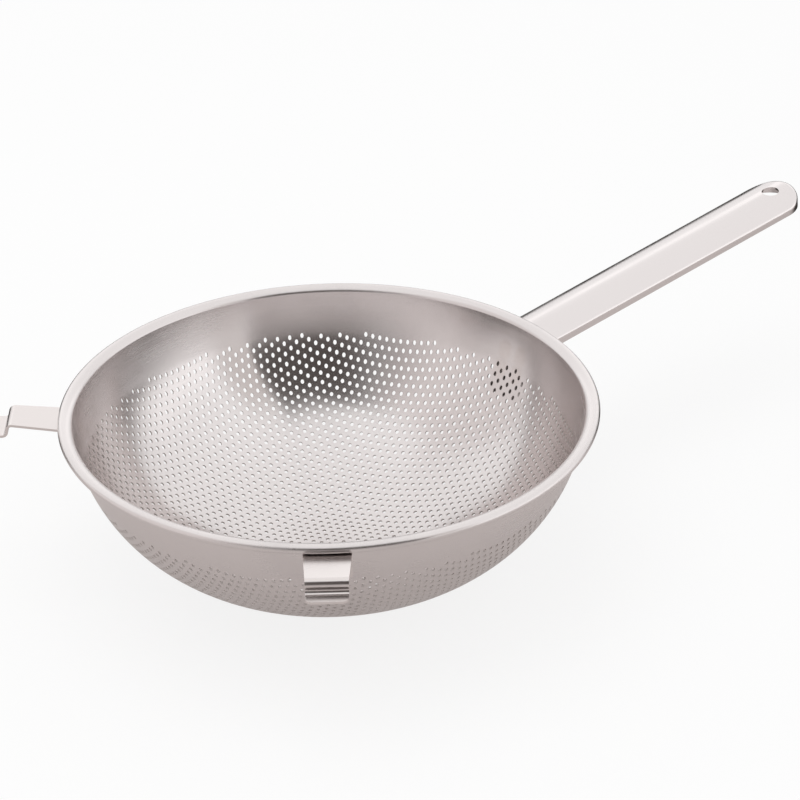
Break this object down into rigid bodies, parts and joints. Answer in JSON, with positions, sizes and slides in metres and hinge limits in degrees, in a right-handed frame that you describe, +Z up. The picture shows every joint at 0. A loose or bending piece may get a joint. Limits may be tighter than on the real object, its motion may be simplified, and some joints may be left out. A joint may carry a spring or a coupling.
{
  "type": "perforated bowl strainer",
  "caption": "Round perforated stainless bowl strainer with a wired rim, a long pressed handle with a hang hole, and bent hooks opposite it that rest on a pot.",
  "frame": {"origin": "middle of the flat base's underside, on the bowl's axis", "axes": "+Z up along the bowl's axis, +X along the handle, +Y to the left seen from the bowl towards the handle's end"},
  "size_m": [0.4415, 0.2528, 0.0988],
  "materials": {
    "bowl_steel": "drawn stainless sheet, polished rim",
    "wire_steel": "plain drawn wire",
    "handle_steel": "satin stainless sheet",
    "hook_steel": "satin stainless sheet",
    "weld_steel": "resistance spot welds"
  },
  "bodies": {
    "root": {"bowl_shell": "bowl_steel", "handle_channel": "handle_steel", "handle_weld_spots": "weld_steel", "pot_hook_left": "hook_steel", "pot_hook_left_weld_spots": "weld_steel", "pot_hook_right": "hook_steel", "pot_hook_right_weld_spots": "weld_steel", "rim_wire": "wire_steel"}
  },
  "joints": []
}
